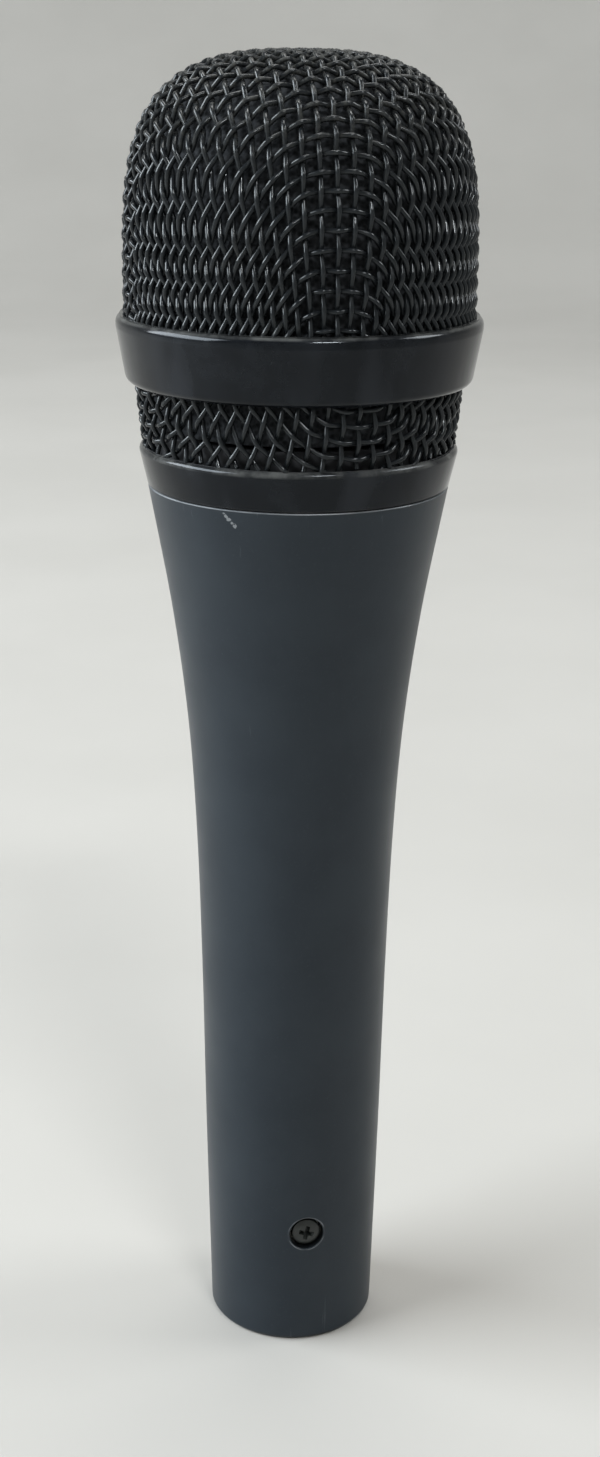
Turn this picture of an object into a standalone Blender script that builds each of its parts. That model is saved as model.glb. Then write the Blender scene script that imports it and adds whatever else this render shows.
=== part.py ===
"""Dynamic vocal microphone, standing upright on its base.

Run with: blender --background --python part.py

The frame has its origin at the centre of the base, +Z up along the axis and the
retaining screw on the -Y side. Lengths here are in millimetres and become metres
where an object's mesh is made.
"""

import math

import bmesh
import bpy
from mathutils import Matrix, Vector

MM = 0.001

# Handle
HANDLE_TOP = 125.3
# (height, outer radius) of the handle's flowing outline
HANDLE_KNOTS = (
    (0.9, 11.9), (30.0, 12.62), (56.0, 13.12), (76.0, 13.76),
    (92.0, 14.8), (108.0, 16.8), (125.3, 19.9),
)
HANDLE_WALL = 2.0
HANDLE_RINGS = 11
BASE_FILLET = 0.9
SOCKET_BORE_R = 9.8
SHOULDER_R = 9.2
SHOULDER_Z = 24.3

# Thread between handle and head
THREAD_PITCH = 1.5
THREAD_DEPTH = 0.6
NECK_ROOT_R = 16.9
COLLAR_ROOT_R = 17.85
NECK_BORE_R = 15.5
NECK_TOP = 131.0
THREAD_BOTTOM = 126.5
THREAD_TOP = 130.4
THREAD_START = math.radians(4.0)

# Head
JOINT_GAP = 0.3
COLLAR_TOP = 130.6
COLLAR_TOP_R = 21.15
SPIGOT_R = 19.0
SPIGOT_TOP = 132.8
RING_BOTTOM = 138.7
RING_TOP = 147.4
RING_INNER_TOP = 146.5
RING_R = 23.8
MESH_THICK = 1.3
LOWER_MESH_BOTTOM_R = 20.7
LOWER_MESH_TOP_R = 21.5
DOME_R = 22.9
DOME_SPRING_Z = 150.0
DOME_TOP = 180.0
DOME_CROWN_POWER = 2.9
DOME_SIDE_POWER = 3.75
FOAM_THICK = 3.0

# Connector in the base
SOCKET_R = 8.1
SOCKET_SHELL_R = 9.5
SOCKET_MOUTH_Z = 0.4
SOCKET_FLOOR_Z = 15.5
INSULATOR_R = 7.8
INSULATOR_TOP = 21.2
PIN_R = 1.2
PIN_CIRCLE_R = 4.76
PIN_TIP_Z = 4.6
PIN_BACK_Z = 25.5
PIN_ANGLES = {"pin_1": 198.4, "pin_2": -18.4, "pin_3": 90.0}

# Retaining screw, along -Y
SCREW_Z = 18.0
SCREW_HEAD_R = 2.0
SCREW_HEAD_Y = 11.75
SCREW_HOLE_R = 2.45
SCREW_SHANK_R = 1.0
SCREW_END_Y = 5.6
INSERT_INNER_R = 1.3
INSERT_OUTER_R = 1.6

# Capsule
CAPSULE_R = 13.2
CAPSULE_BOTTOM = 112.0
CAPSULE_TOP = 148.0
MAGNET_SEAT_Z = 134.7
YOKE_INNER_R = 8.8
POLE_R = 7.6
COIL_INNER_R = 8.0
COIL_OUTER_R = 8.4
DIAPHRAGM_Z = 149.6
DIAPHRAGM_THICK = 0.3
COVER_TOP = 156.0

# Facets round a full turn
OUTER_STEPS = 48
MESH_STEPS = 40
INNER_STEPS = 24
SMALL_STEPS = 16


# ---------------------------------------------------------------- scene helpers

def clear_scene():
    for obj in list(bpy.data.objects):
        bpy.data.objects.remove(obj, do_unlink=True)


def new_collection(name):
    collection = bpy.data.collections.new(name)
    bpy.context.scene.collection.children.link(collection)
    return collection


def principled(name, color, metallic=0.0, roughness=0.5):
    material = bpy.data.materials.new(name)
    material.use_nodes = True
    shader = material.node_tree.nodes["Principled BSDF"]
    shader.inputs["Base Color"].default_value = (*color, 1.0)
    shader.inputs["Metallic"].default_value = metallic
    shader.inputs["Roughness"].default_value = roughness
    material.diffuse_color = (*color, 1.0)
    return material


def settle(obj):
    """Replaces the object's data with its evaluated mesh, so that it can be cut and shaded."""
    bpy.context.view_layer.update()
    graph = bpy.context.evaluated_depsgraph_get()
    mesh = bpy.data.meshes.new_from_object(obj.evaluated_get(graph), depsgraph=graph)
    work = bmesh.new()
    work.from_mesh(mesh)
    bmesh.ops.remove_doubles(work, verts=work.verts, dist=1e-6)
    work.to_mesh(mesh)
    work.free()
    mesh.name = obj.name
    made = bpy.data.objects.new(obj.name + "_made", mesh)
    made.matrix_world = obj.matrix_world.copy()
    for collection in obj.users_collection:
        collection.objects.link(made)
    name = obj.name
    bpy.data.objects.remove(obj, do_unlink=True)
    made.name = name
    return made


def smooth(obj, degrees=35.0):
    obj.data.shade_smooth()
    obj.data.set_sharp_from_angle(angle=math.radians(degrees))


def finished(obj, material):
    obj.data.materials.clear()
    obj.data.materials.append(material)
    smooth(obj)
    return obj


# ---------------------------------------------------------------- shape helpers

def rounded(corners, arc_steps=2):
    """The outline with each (r, z, fillet) corner replaced by an arc of that radius."""
    points = []
    count = len(corners)
    for index, corner in enumerate(corners):
        here = Vector(corner[:2])
        if len(corner) == 2:
            points.append(tuple(here))
            continue
        fillet = corner[2]
        before = (Vector(corners[index - 1][:2]) - here).normalized()
        after = (Vector(corners[(index + 1) % count][:2]) - here).normalized()
        half_angle = before.angle(after) / 2
        middle = here + (before + after).normalized() * (fillet / math.sin(half_angle))
        start = here + before * (fillet / math.tan(half_angle)) - middle
        end = here + after * (fillet / math.tan(half_angle)) - middle
        turn = start.angle_signed(end)
        for step in range(arc_steps + 1):
            spoke = Matrix.Rotation(-turn * step / arc_steps, 2) @ start
            points.append(tuple(middle + spoke))
    return points


def turned(name, outline, collection, steps=OUTER_STEPS, closed=True):
    """A solid of revolution about the object's Z axis. The outline runs down its outer side."""
    mesh = bpy.data.meshes.new(name)
    count = len(outline)
    edges = [(i, i + 1) for i in range(count - 1)]
    if closed:
        edges.append((count - 1, 0))
    mesh.from_pydata([(r * MM, 0.0, z * MM) for r, z in outline], edges, [])
    obj = bpy.data.objects.new(name, mesh)
    collection.objects.link(obj)
    screw = obj.modifiers.new("turn", "SCREW")
    screw.axis = "Z"
    screw.angle = math.tau
    screw.steps = steps
    screw.render_steps = steps
    screw.use_merge_vertices = True
    screw.merge_threshold = 0.00001
    return settle(obj)


def disc(name, radius, bottom, top, collection, steps=INNER_STEPS):
    outline = [(0.0, top), (radius, top), (radius, bottom), (0.0, bottom)]
    return turned(name, outline, collection, steps, closed=False)


def ring(name, inner, outer, bottom, top, collection, steps=INNER_STEPS):
    outline = [(inner, top), (outer, top), (outer, bottom), (inner, bottom)]
    return turned(name, outline, collection, steps)


def rod(name, radius, start, end, collection, sides=SMALL_STEPS, end_radius=None):
    """A straight round bar, or a cone, from one point to another."""
    start = Vector(start) * MM
    end = Vector(end) * MM
    along = end - start
    mesh = bpy.data.meshes.new(name)
    work = bmesh.new()
    bmesh.ops.create_cone(
        work, cap_ends=True, segments=sides, depth=along.length,
        radius1=radius * MM, radius2=(radius if end_radius is None else end_radius) * MM,
    )
    work.to_mesh(mesh)
    work.free()
    obj = bpy.data.objects.new(name, mesh)
    obj.matrix_world = (
        Matrix.Translation((start + end) / 2)
        @ along.to_track_quat("Z", "Y").to_matrix().to_4x4()
    )
    collection.objects.link(obj)
    return obj


def block(name, low, high, collection):
    """A box between two corners."""
    low = Vector(low) * MM
    high = Vector(high) * MM
    mesh = bpy.data.meshes.new(name)
    work = bmesh.new()
    size = high - low
    bmesh.ops.create_cube(work, size=1.0, matrix=Matrix.Diagonal((*size, 1.0)))
    work.to_mesh(mesh)
    work.free()
    obj = bpy.data.objects.new(name, mesh)
    obj.location = (low + high) / 2
    collection.objects.link(obj)
    return obj


def wire(name, points, radius, collection, radii=None, sides_level=2):
    """A round wire through the points, as a mesh with welded end caps."""
    curve = bpy.data.curves.new(name, "CURVE")
    curve.dimensions = "3D"
    curve.twist_mode = "Z_UP"
    curve.bevel_depth = radius * MM
    curve.bevel_resolution = sides_level
    curve.use_fill_caps = True
    spline = curve.splines.new("POLY")
    spline.points.add(len(points) - 1)
    for index, point in enumerate(points):
        spline.points[index].co = (*(Vector(point) * MM), 1.0)
        spline.points[index].radius = 1.0 if radii is None else radii[index]
    obj = bpy.data.objects.new(name, curve)
    collection.objects.link(obj)
    return settle(obj)


def combine(target, other, operation, cutters):
    """Cuts, or joins, with the EXACT solver, then keeps the helper out of the render."""
    modifier = target.modifiers.new(operation.lower(), "BOOLEAN")
    modifier.operation = operation
    modifier.solver = "EXACT"
    modifier.object = other
    other.hide_render = True
    other.display_type = "WIRE"
    for collection in other.users_collection:
        collection.objects.unlink(other)
    cutters.objects.link(other)
    bpy.context.view_layer.update()
    return settle(target)


def hermite(knots, at):
    """Smooth value at one place of a curve through (place, value) knots."""
    last = len(knots) - 1
    span = max(i for i in range(last) if knots[i][0] <= at or i == 0)

    def slope(index):
        low = knots[max(index - 1, 0)]
        high = knots[min(index + 1, last)]
        return (high[1] - low[1]) / (high[0] - low[0])

    (x0, y0), (x1, y1) = knots[span], knots[span + 1]
    width = x1 - x0
    t = (at - x0) / width
    return (
        (2 * t**3 - 3 * t**2 + 1) * y0
        + (t**3 - 2 * t**2 + t) * width * slope(span)
        + (3 * t**2 - 2 * t**3) * y1
        + (t**3 - t**2) * width * slope(span + 1)
    )


def smooth_route(stops, steps_between=5):
    """Points along a Catmull-Rom curve through the stops."""
    stops = [Vector(stop) for stop in stops]
    padded = [2 * stops[0] - stops[1], *stops, 2 * stops[-1] - stops[-2]]
    points = []
    for i in range(1, len(padded) - 2):
        a, b, c, d = padded[i - 1:i + 3]
        for step in range(steps_between):
            t = step / steps_between
            points.append(
                0.5 * (2 * b + (c - a) * t + (2 * a - 5 * b + 4 * c - d) * t**2
                       + (3 * b - a - 3 * c + d) * t**3)
            )
    points.append(stops[-1])
    return points


def thread_ridge(name, centre_r, start_angle, collection, steps_round=24):
    """A right-hand helical ridge that fades out at both ends."""
    turns = (THREAD_TOP - THREAD_BOTTOM) / THREAD_PITCH
    steps = round(turns * steps_round)
    fade = steps_round / 4
    points = []
    radii = []
    for step in range(steps + 1):
        angle = start_angle + math.tau * step / steps_round
        height = THREAD_BOTTOM + THREAD_PITCH * step / steps_round
        points.append((centre_r * math.cos(angle), centre_r * math.sin(angle), height))
        radii.append(min(1.0, 0.3 + 0.7 * step / fade, 0.3 + 0.7 * (steps - step) / fade))
    return wire(name, points, THREAD_DEPTH, collection, radii, sides_level=0)


# ---------------------------------------------------------------- handle

def handle_radius(z):
    return hermite(HANDLE_KNOTS, z)


def handle_shell(parts, cutters, paint):
    low = HANDLE_KNOTS[0][0]
    outside = [
        HANDLE_TOP + (low - HANDLE_TOP) * step / HANDLE_RINGS for step in range(1, HANDLE_RINGS)
    ]
    inside = [32.0 + (HANDLE_TOP - 32.0) * step / 5 for step in range(6)]
    outline = rounded(
        [(handle_radius(HANDLE_TOP), HANDLE_TOP, 0.3)]
        + [(handle_radius(z), z) for z in outside]
        + [(handle_radius(low), 0.0, BASE_FILLET),
           (SOCKET_BORE_R + 0.3, 0.0), (SOCKET_BORE_R, 0.3),
           (SOCKET_BORE_R, SHOULDER_Z), (SHOULDER_R, SHOULDER_Z), (SHOULDER_R, 28.0)]
        + [(handle_radius(z) - HANDLE_WALL, z) for z in inside],
        arc_steps=3,
    )
    shell = turned("handle_shell", outline, parts)
    hole = rod("screw_hole_cutter", SCREW_HOLE_R, (0, -14, SCREW_Z), (0, -8, SCREW_Z), cutters, 24)
    shell = combine(shell, hole, "DIFFERENCE", cutters)
    rim = handle_radius(SCREW_Z)
    chamfer = rod(
        "screw_chamfer_cutter", SCREW_HOLE_R + 0.65, (0, -rim - 0.3, SCREW_Z),
        (0, -rim + 0.35, SCREW_Z), cutters, 24, end_radius=SCREW_HOLE_R,
    )
    return finished(combine(shell, chamfer, "DIFFERENCE", cutters), paint)


def threaded_neck(parts, cutters, brass):
    outline = rounded([
        (NECK_BORE_R, NECK_TOP), (NECK_ROOT_R, NECK_TOP, 0.3), (NECK_ROOT_R, 124.0),
        (16.0, 123.4), (16.0, 117.5), (NECK_BORE_R, 117.5),
    ])
    neck = turned("threaded_neck", outline, parts, MESH_STEPS)
    ridge = thread_ridge("neck_ridge", NECK_ROOT_R - 0.05, THREAD_START, cutters)
    return finished(combine(neck, ridge, "UNION", cutters), brass)


def shock_mount(parts, rubber):
    outline = rounded([
        (14.6, 132.6, 0.3), (16.6, 132.6, 0.5), (16.6, 131.3), (15.2, 131.3), (15.2, 119.0),
        (13.5, 119.0), (13.5, 130.5), (14.1, 130.5), (14.1, 120.2), (14.6, 120.2),
    ])
    return finished(turned("shock_mount", outline, parts, INNER_STEPS), rubber)


# ---------------------------------------------------------------- connector

def connector_shell(parts, cutters, nickel):
    outline = rounded([
        (SOCKET_R, 20.8), (SOCKET_SHELL_R, 20.8), (SOCKET_SHELL_R, SOCKET_MOUTH_Z, 0.3),
        (SOCKET_R + 0.3, SOCKET_MOUTH_Z), (SOCKET_R, SOCKET_MOUTH_Z + 0.3),
    ])
    shell = turned("connector_shell", outline, parts, INNER_STEPS)
    keyway = block("keyway_cutter", (-1.3, -8.8, -1.0), (1.3, -6.0, 14.0), cutters)
    shell = combine(shell, keyway, "DIFFERENCE", cutters)
    window = block("latch_cutter", (-2.2, -11.0, 5.0), (2.2, -6.0, 8.0), cutters)
    shell = combine(shell, window, "DIFFERENCE", cutters)
    hole = rod("shell_screw_cutter", 1.6, (0, -11, SCREW_Z), (0, -6, SCREW_Z), cutters, 16)
    return finished(combine(shell, hole, "DIFFERENCE", cutters), nickel)


def pin_place(name):
    angle = math.radians(PIN_ANGLES[name])
    return PIN_CIRCLE_R * math.cos(angle), PIN_CIRCLE_R * math.sin(angle)


def pin_insulator(parts, cutters, plastic):
    body = disc("pin_insulator", INSULATOR_R, SOCKET_FLOOR_Z, INSULATOR_TOP, parts)
    for name in PIN_ANGLES:
        x, y = pin_place(name)
        hole = rod(name + "_cutter", PIN_R + 0.3, (x, y, 14), (x, y, 24), cutters, 16)
        body = combine(body, hole, "DIFFERENCE", cutters)
    socket = rod(
        "insert_cutter", INSERT_OUTER_R + 0.3, (0, -9.0, SCREW_Z), (0, -4.6, SCREW_Z), cutters, 16
    )
    return finished(combine(body, socket, "DIFFERENCE", cutters), plastic)


def contact_pin(name, parts, gold):
    outline = [
        (0.0, PIN_BACK_Z), (1.0, PIN_BACK_Z), (1.0, INSULATOR_TOP + 0.4),
        (PIN_R, INSULATOR_TOP + 0.4), (PIN_R, PIN_TIP_Z + 0.7), (0.7 * PIN_R, PIN_TIP_Z + 0.15),
        (0.0, PIN_TIP_Z),
    ]
    pin = turned(name, outline, parts, 16, closed=False)
    x, y = pin_place(name)
    pin.location = (x * MM, y * MM, 0.0)
    return finished(pin, gold)


def screw_insert(parts, brass):
    insert = ring("screw_insert", INSERT_INNER_R, INSERT_OUTER_R, 0.0, 2.7, parts, SMALL_STEPS)
    insert.location = (0.0, -4.9 * MM, SCREW_Z * MM)
    insert.rotation_euler = (math.radians(90), 0, 0)
    return finished(insert, brass)


def retaining_screw(parts, cutters, black):
    """A pan-head screw with a cross recess, made along its own axis with the head at the top."""
    length = SCREW_HEAD_Y - SCREW_END_Y
    head = 1.3
    outline = [
        (0.0, 0.0), (1.1, -0.05), (1.65, -0.2), (SCREW_HEAD_R, -0.55), (SCREW_HEAD_R, -head),
        (SCREW_SHANK_R, -head), (SCREW_SHANK_R, 0.3 - length), (SCREW_SHANK_R - 0.3, -length),
        (0.0, -length),
    ]
    screw = turned("retaining_screw", outline, parts, SMALL_STEPS, closed=False)
    for index, turn in enumerate((12.0, 102.0)):
        slot = block(f"slot_cutter_{index}", (-1.25, -0.24, -0.75), (1.25, 0.24, 1.0), cutters)
        slot.rotation_euler = (0.0, 0.0, math.radians(turn))
        screw = combine(screw, slot, "DIFFERENCE", cutters)
    screw.rotation_euler = (math.radians(90), 0, 0)
    return finished(screw, black)


def ground_tag(parts, tin):
    tag = block("ground_tag", (-8.7, -1.4, 21.1), (-8.3, 1.4, 25.6), parts)
    return finished(tag, tin)


def leads(parts, colors):
    """Signal leads from pins 2 and 3 along the handle's wall, and the short ground lead."""
    x, y = pin_place("pin_2")
    routes = {
        "lead_hot": ((x, y, 26.1), (x + 0.6, y, 30.0), (8.4, -1.1, 37.0), (9.8, -0.4, 48.0),
                     (10.0, 0.0, 64.0), (10.2, 0.0, 80.0), (9.0, 0.0, 90.0), (5.3, 0.0, 94.0)),
        "lead_cold": ((0.0, PIN_CIRCLE_R, 26.1), (-1.0, 5.2, 30.0), (-6.8, 4.6, 38.0),
                      (-9.6, 2.0, 49.0), (-10.0, 0.3, 64.0), (-10.2, 0.0, 80.0),
                      (-9.0, 0.0, 90.0), (-5.3, 0.0, 94.0)),
    }
    x, y = pin_place("pin_1")
    routes["lead_ground"] = ((x, y, 26.1), (x - 0.3, y + 0.5, 27.8), (-6.2, -0.5, 28.2),
                             (-7.2, 0.0, 26.5), (-7.3, 0.0, 24.5))
    for name, stops in routes.items():
        finished(wire(name, smooth_route(stops, 3), 0.55, parts), colors[name])


# ---------------------------------------------------------------- head

def grille_collar(parts, cutters, gloss):
    bottom = HANDLE_TOP + JOINT_GAP
    outline = rounded([
        (COLLAR_ROOT_R, SPIGOT_TOP), (SPIGOT_R, SPIGOT_TOP), (SPIGOT_R, COLLAR_TOP),
        (COLLAR_TOP_R - 0.05, COLLAR_TOP, 0.45),
        (handle_radius(HANDLE_TOP) + 0.05, bottom, 0.2),
        (COLLAR_ROOT_R + 0.3, bottom), (COLLAR_ROOT_R, bottom + 0.3),
    ])
    collar = turned("grille_collar", outline, parts)
    ridge = thread_ridge(
        "collar_ridge", COLLAR_ROOT_R + 0.05, THREAD_START + math.pi, cutters
    )
    return finished(combine(collar, ridge, "UNION", cutters), gloss)


def lower_mesh(parts, steel):
    outline = [
        (LOWER_MESH_TOP_R - MESH_THICK, 141.2), (LOWER_MESH_TOP_R, 141.2),
        (LOWER_MESH_TOP_R, RING_BOTTOM - 0.5), (LOWER_MESH_BOTTOM_R, COLLAR_TOP + 0.3),
        (LOWER_MESH_BOTTOM_R - MESH_THICK, COLLAR_TOP + 0.3),
        (LOWER_MESH_TOP_R - MESH_THICK, RING_BOTTOM - 0.5),
    ]
    return finished(turned("lower_mesh", outline, parts, MESH_STEPS), steel)


def crash_ring(parts, gloss):
    """A ring with a groove in its top for the dome and one in its underside for the band."""
    outline = rounded([
        (23.2, RING_TOP), (RING_R, RING_TOP, 0.58), (RING_R, 145.9),
        (22.6, RING_BOTTOM + 0.55, 1.2), (21.8, RING_BOTTOM), (21.8, 141.5), (19.9, 141.5),
        (19.9, RING_BOTTOM), (19.3, RING_BOTTOM), (19.3, RING_INNER_TOP - 1.0),
        (20.3, RING_INNER_TOP), (21.3, RING_INNER_TOP), (21.3, 143.5), (23.2, 143.5),
    ], arc_steps=3)
    return finished(turned("crash_ring", outline, parts), gloss)


def dome_line(radius, height, steps):
    """Outline of a superellipse dome, with its own power for the crown and for the side."""
    points = []
    for step in range(steps + 1):
        angle = math.pi / 2 * (step / steps) ** 1.25
        r = radius * math.sin(angle) ** (2 / DOME_CROWN_POWER)
        z = DOME_SPRING_Z + height * max(math.cos(angle), 0.0) ** (2 / DOME_SIDE_POWER)
        points.append((r, z))
    return points


def upper_mesh(parts, steel):
    height = DOME_TOP - DOME_SPRING_Z
    outer = dome_line(DOME_R, height, 10)
    inner = dome_line(DOME_R - MESH_THICK, height - MESH_THICK, 7)
    rim = 143.8
    outline = outer + [(DOME_R, rim), (DOME_R - MESH_THICK, rim)] + inner[::-1]
    return finished(turned("upper_mesh", outline, parts, MESH_STEPS, closed=False), steel)


def foam_liner(parts, foam):
    gap = MESH_THICK + 0.6
    height = DOME_TOP - DOME_SPRING_Z - gap
    outer = dome_line(DOME_R - gap, height, 6)
    inner = dome_line(DOME_R - gap - FOAM_THICK, height - FOAM_THICK, 5)
    bottom = 133.6
    outline = outer + [
        (DOME_R - gap, 147.0), (19.0, 146.8), (19.0, bottom), (16.6, bottom), (16.6, 146.0),
    ] + inner[::-1]
    return finished(turned("foam_liner", outline, parts, INNER_STEPS, closed=False), foam)


# ---------------------------------------------------------------- capsule

def capsule_housing(parts, plastic):
    outline = rounded([
        (12.2, CAPSULE_TOP), (15.0, CAPSULE_TOP, 0.4), (15.0, 145.5), (CAPSULE_R, 144.5),
        (CAPSULE_R, CAPSULE_BOTTOM, 0.5), (3.0, CAPSULE_BOTTOM), (3.0, 113.5), (10.5, 113.5),
        (10.5, MAGNET_SEAT_Z), (12.2, MAGNET_SEAT_Z),
    ])
    return finished(turned("capsule_housing", outline, parts, INNER_STEPS), plastic)


def rear_cup(parts, plastic):
    outline = rounded([
        (10.5, 111.7), (11.5, 111.7), (11.5, 100.0, 1.0), (0.0, 100.0), (0.0, 101.0),
        (10.5, 101.0),
    ])
    outline = outline[-1:] + outline[:-2]
    return finished(
        turned("rear_cup", [(0.0, 101.0)] + outline, parts, INNER_STEPS, closed=False), plastic
    )


def yoke_cup(parts, steel):
    bottom = MAGNET_SEAT_Z + 0.3
    outline = [
        (0.0, 137.0), (YOKE_INNER_R, 137.0), (YOKE_INNER_R, 146.5), (11.9, 146.5),
        (11.9, bottom), (0.0, bottom),
    ]
    return finished(turned("yoke_cup", outline, parts, INNER_STEPS, closed=False), steel)


def diaphragm(parts, film):
    """A centre dome and a rolled surround, as one thin film."""
    top = []
    for step in range(5):
        r = 8.2 * step / 4
        top.append((r, DIAPHRAGM_Z + 3.0 * (1 - (r / 8.2) ** 2)))
    for step in range(1, 5):
        t = step / 4
        top.append((8.2 + 4.0 * t, DIAPHRAGM_Z + 0.9 * math.sin(math.pi * t)))
    top.append((12.9, DIAPHRAGM_Z))
    under = [(r, z - DIAPHRAGM_THICK) for r, z in reversed(top)]
    return finished(
        turned("diaphragm", top + under, parts, INNER_STEPS, closed=False), film
    )


def front_cover(parts, cutters, plastic):
    outline = rounded([
        (14.5, COVER_TOP, 0.6), (14.5, CAPSULE_TOP + 0.3), (13.5, CAPSULE_TOP + 0.3),
        (13.5, COVER_TOP - 1.5), (0.0, COVER_TOP - 1.5), (0.0, COVER_TOP),
    ])
    outline = [outline[-1]] + outline[:-1]
    cover = turned("front_cover", outline, parts, INNER_STEPS, closed=False)
    for index in range(7):
        angle = math.tau * index / 6
        reach = 0.0 if index == 6 else 7.5
        x, y = reach * math.cos(angle), reach * math.sin(angle)
        port = rod(f"port_cutter_{index}", 2.2, (x, y, 153), (x, y, 158), cutters, 14)
        cover = combine(cover, port, "DIFFERENCE", cutters)
    return finished(cover, plastic)


def capsule(parts, cutters, plastic, steel, magnet, copper, felt, film, board, tin):
    made = [
        capsule_housing(parts, plastic),
        rear_cup(parts, plastic),
        yoke_cup(parts, steel),
        finished(disc("magnet", 7.4, 137.3, 143.3, parts), magnet),
        finished(disc("pole_piece", POLE_R, 143.6, 146.5, parts), steel),
        finished(ring("hum_coil", 8.3, 10.1, 128.0, 133.6, parts), copper),
        finished(ring("damping_felt", 9.2, 11.8, 146.8, 147.6, parts), felt),
        finished(ring("diaphragm_seat", 11.2, 13.2, 148.3, 148.8, parts), plastic),
        front_cover(parts, cutters, plastic),
        finished(disc("cover_screen", 12.4, COVER_TOP + 0.3, COVER_TOP + 0.7, parts), felt),
        finished(disc("terminal_board", 8.0, 98.3, 99.6, parts), board),
        finished(block("tag_hot", (3.9, -0.9, 92.5), (4.3, 0.9, 98.0), parts), tin),
        finished(block("tag_cold", (-4.3, -0.9, 92.5), (-3.9, 0.9, 98.0), parts), tin),
    ]
    moving = [
        diaphragm(parts, film),
        finished(
            ring("voice_coil", COIL_INNER_R, COIL_OUTER_R, 143.4, DIAPHRAGM_Z - 0.5, parts),
            copper,
        ),
    ]
    return made, moving


# ---------------------------------------------------------------- assembly

def joint_empty(name, place, parts):
    empty = bpy.data.objects.new(name, None)
    empty.empty_display_size = 0.01
    empty.location = [value * MM for value in place]
    parts.objects.link(empty)
    return empty


def attach(children, parent):
    """Parents the pieces and leaves each where it is."""
    bpy.context.view_layer.update()
    for child in children:
        child.parent = parent
        child.matrix_parent_inverse = parent.matrix_world.inverted()


def build():
    clear_scene()
    parts = new_collection("dynamic_microphone")
    cutters = new_collection("cutters")
    cutters.hide_render = True

    paint = principled("handle_paint", (0.034, 0.041, 0.048), 0.25, 0.42)
    gloss = principled("gloss_black", (0.006, 0.006, 0.007), 0.0, 0.16)
    weave = principled("mesh_black", (0.010, 0.010, 0.011), 0.4, 0.3)
    foam = principled("foam", (0.006, 0.006, 0.006), 0.0, 0.95)
    black = principled("screw_black", (0.008, 0.008, 0.008), 0.7, 0.35)
    brass = principled("brass", (0.62, 0.46, 0.20), 1.0, 0.3)
    rubber = principled("rubber", (0.012, 0.012, 0.012), 0.0, 0.8)
    nickel = principled("nickel", (0.55, 0.54, 0.51), 1.0, 0.28)
    plastic = principled("black_plastic", (0.012, 0.012, 0.013), 0.0, 0.45)
    gold = principled("gold", (0.83, 0.62, 0.25), 1.0, 0.22)
    tin = principled("tin", (0.60, 0.60, 0.58), 1.0, 0.4)
    steel = principled("steel", (0.50, 0.50, 0.50), 1.0, 0.35)
    magnet = principled("magnet_nickel", (0.42, 0.42, 0.42), 1.0, 0.25)
    copper = principled("copper", (0.72, 0.34, 0.17), 1.0, 0.35)
    felt = principled("felt", (0.16, 0.15, 0.14), 0.0, 0.95)
    film = principled("film", (0.55, 0.52, 0.44), 0.0, 0.3)
    board = principled("board", (0.05, 0.16, 0.07), 0.0, 0.5)
    lead_colors = {
        "lead_hot": principled("lead_red", (0.45, 0.02, 0.02), 0.0, 0.45),
        "lead_cold": principled("lead_blue", (0.02, 0.06, 0.35), 0.0, 0.45),
        "lead_ground": principled("lead_black", (0.01, 0.01, 0.01), 0.0, 0.45),
    }

    handle_shell(parts, cutters, paint)
    threaded_neck(parts, cutters, brass)
    shock_mount(parts, rubber)
    connector_shell(parts, cutters, nickel)
    pin_insulator(parts, cutters, plastic)
    for name in PIN_ANGLES:
        contact_pin(name, parts, gold)
    screw_insert(parts, brass)
    ground_tag(parts, tin)
    leads(parts, lead_colors)

    screw_axis = joint_empty("screw_axis", (0, -SCREW_HEAD_Y, SCREW_Z), parts)
    screw = retaining_screw(parts, cutters, black)
    screw.location = screw_axis.location
    attach([screw], screw_axis)

    head_axis = joint_empty("head_axis", (0, 0, HANDLE_TOP), parts)
    foam_piece = foam_liner(parts, foam)
    head = [
        grille_collar(parts, cutters, gloss),
        lower_mesh(parts, weave),
        crash_ring(parts, gloss),
        upper_mesh(parts, weave),
    ]
    attach([foam_piece, *head], head_axis)

    still, moving = capsule(
        parts, cutters, plastic, steel, magnet, copper, felt, film, board, tin
    )
    capsule_axis = joint_empty("capsule_axis", (0, 0, CAPSULE_BOTTOM), parts)
    diaphragm_axis = joint_empty("diaphragm_axis", (0, 0, DIAPHRAGM_Z), parts)
    attach(still, capsule_axis)
    attach(moving, diaphragm_axis)
    attach([diaphragm_axis], capsule_axis)


build()
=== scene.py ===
"""Looks of the dynamic microphone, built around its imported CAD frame.

Lengths are in metres. The frame has its origin at the centre of the base, +Z up along
the axis, and the retaining screw on the -Y side.
"""

import math
import random

import bmesh
import bpy
import numpy as np
from mathutils import Matrix, Vector, noise


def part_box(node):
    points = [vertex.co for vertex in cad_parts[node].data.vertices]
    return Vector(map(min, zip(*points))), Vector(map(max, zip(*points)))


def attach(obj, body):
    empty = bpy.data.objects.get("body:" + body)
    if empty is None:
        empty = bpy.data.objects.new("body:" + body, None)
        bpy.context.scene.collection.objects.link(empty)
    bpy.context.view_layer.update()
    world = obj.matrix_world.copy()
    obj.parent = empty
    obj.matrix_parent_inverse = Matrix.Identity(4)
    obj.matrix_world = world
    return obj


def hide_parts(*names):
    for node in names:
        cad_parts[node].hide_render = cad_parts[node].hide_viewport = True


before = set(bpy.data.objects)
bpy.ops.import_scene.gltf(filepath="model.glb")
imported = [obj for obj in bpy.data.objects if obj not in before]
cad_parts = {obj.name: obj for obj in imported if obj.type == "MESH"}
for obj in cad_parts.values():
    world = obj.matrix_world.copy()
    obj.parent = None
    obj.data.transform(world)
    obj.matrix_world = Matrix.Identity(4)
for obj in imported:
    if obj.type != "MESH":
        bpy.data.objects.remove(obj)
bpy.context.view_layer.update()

MM = 0.001

# ---------------------------------------------------------------- sizes from the frame

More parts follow.
